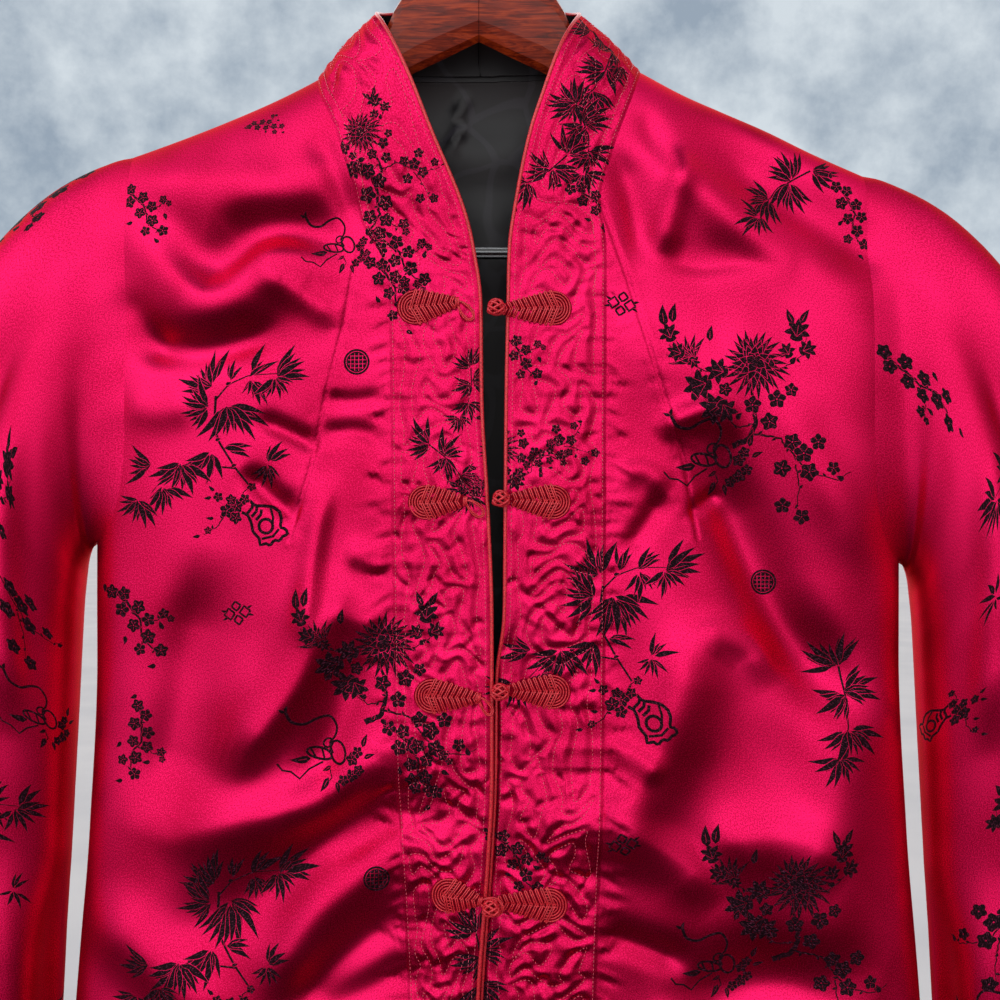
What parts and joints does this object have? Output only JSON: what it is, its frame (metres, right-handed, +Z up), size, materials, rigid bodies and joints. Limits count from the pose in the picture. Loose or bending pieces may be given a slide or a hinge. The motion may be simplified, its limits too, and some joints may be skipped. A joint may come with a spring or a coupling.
{
  "type": "tang jacket on wooden hanger",
  "caption": "Tang jacket of patterned satin with quilted front bands, stand collar, long sleeves and frog fastenings, hung open on a wooden hanger with a wire hook.",
  "frame": {"origin": "underside of the hanger hook's crown, where the hook rests on its rod", "axes": "+Z up; +X towards the right of a viewer who faces the jacket's front; the jacket's front faces -Y"},
  "size_m": [0.6715, 0.0946, 0.7488],
  "materials": {
    "red_satin_brocade": "magenta-red silk satin with woven black motifs",
    "black_lining": "black tone-on-tone woven lining",
    "coral_red_cord": "coral-red satin cord and piping",
    "hanger_wood": "varnished reddish mahogany",
    "hook_wire": "plated steel wire",
    "bar_cover": "clear ribbed sleeve"
  },
  "bodies": {
    "root": {"front_left": "red_satin_brocade", "front_right": "red_satin_brocade", "band_left": "red_satin_brocade", "band_right": "red_satin_brocade", "back": "red_satin_brocade", "sleeve_left": "red_satin_brocade", "sleeve_right": "red_satin_brocade", "piping_left": "coral_red_cord", "piping_right": "coral_red_cord", "lining_back": "black_lining", "lining_collar": "black_lining", "frog_1_loop": "coral_red_cord", "frog_1_knot": "coral_red_cord", "frog_2_loop": "coral_red_cord", "frog_2_knot": "coral_red_cord", "frog_3_loop": "coral_red_cord", "frog_3_knot": "coral_red_cord", "frog_4_loop": "coral_red_cord", "frog_4_knot": "coral_red_cord", "hanger_left": "hanger_wood", "hanger_right": "hanger_wood", "hanger_hook": "hook_wire", "hanger_bar": "bar_cover"}
  },
  "joints": []
}
